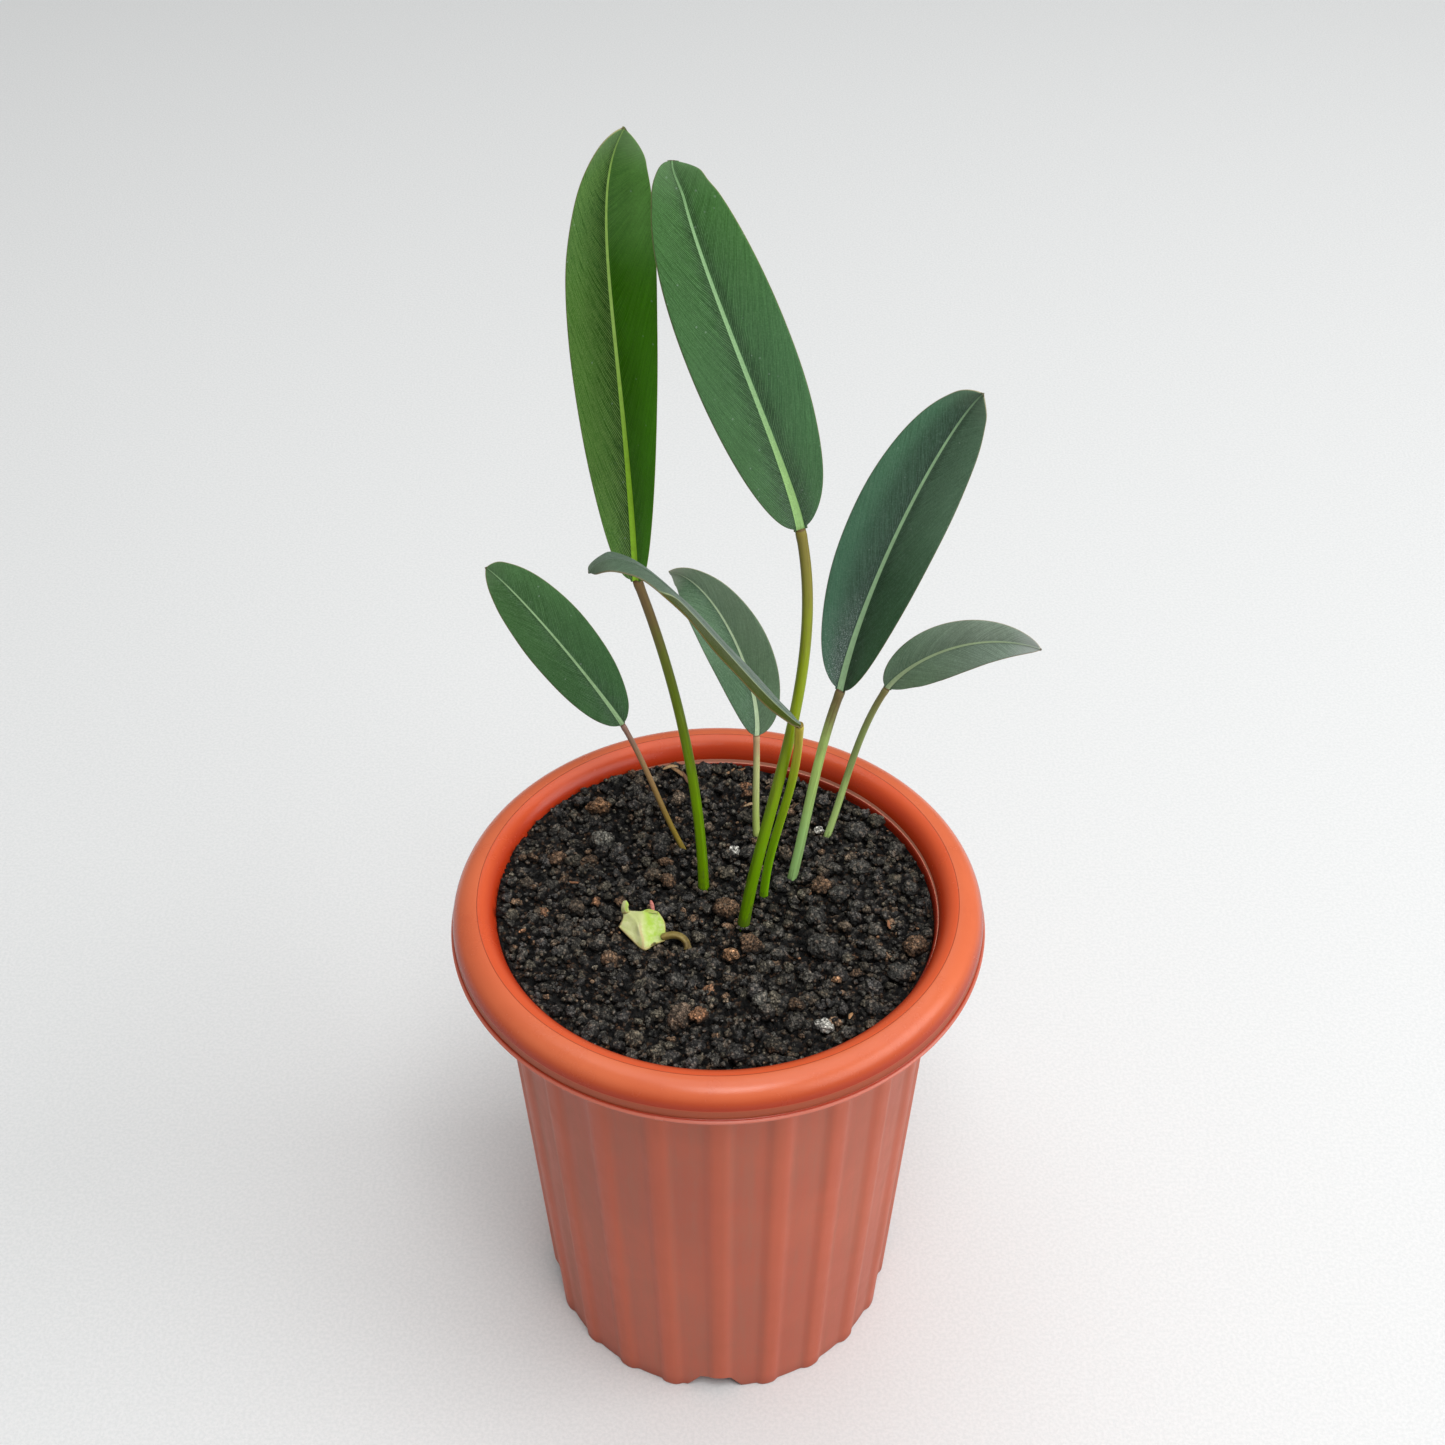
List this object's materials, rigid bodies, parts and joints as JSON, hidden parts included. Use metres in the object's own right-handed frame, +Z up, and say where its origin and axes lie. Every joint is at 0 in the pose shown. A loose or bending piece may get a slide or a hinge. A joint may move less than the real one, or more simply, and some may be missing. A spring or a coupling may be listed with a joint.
{
  "type": "potted philodendron callosum",
  "caption": "Fluted round plant pot with a rolled rim, filled with granular potting mix, in which long strap-shaped folded leaves stand on bare upright petioles.",
  "frame": {"origin": "on the pot's axis, in the plane that the pot stands on", "axes": "+Z up along the pot's axis; -Y towards the front, where a ridge and a notch of the foot ring lie; +X to the right seen from the front"},
  "size_m": [0.2355, 0.22, 0.5672],
  "materials": {
    "terracotta": "moulded plastic, satin on the rim and dusty matte on the fluted body",
    "mix": "loose black volcanic granules, dry and dusty",
    "blade": "leathery leaf, satin, with fine slanting side veins",
    "blade_dark": "leathery leaf with a dull bluish bloom",
    "petiole": "smooth leaf stalk, satin, brownish towards the blade",
    "petiole_brown": "thin brownish leaf stalk, satin",
    "withered": "dry yellow-green scrap of leaf, matte"
  },
  "bodies": {
    "root": {"pot": "terracotta", "potting_mix": "mix", "blade_tall_left": "blade", "blade_tall_right": "blade", "blade_right": "blade_dark", "blade_small_right": "blade_dark", "blade_small_left": "blade", "blade_small_back": "blade_dark", "blade_arched": "blade_dark", "petiole_tall_left": "petiole", "petiole_tall_right": "petiole", "petiole_right": "petiole", "petiole_small_right": "petiole", "petiole_small_left": "petiole_brown", "petiole_small_back": "petiole", "petiole_arched": "petiole", "withered_leaf": "withered"}
  },
  "joints": []
}
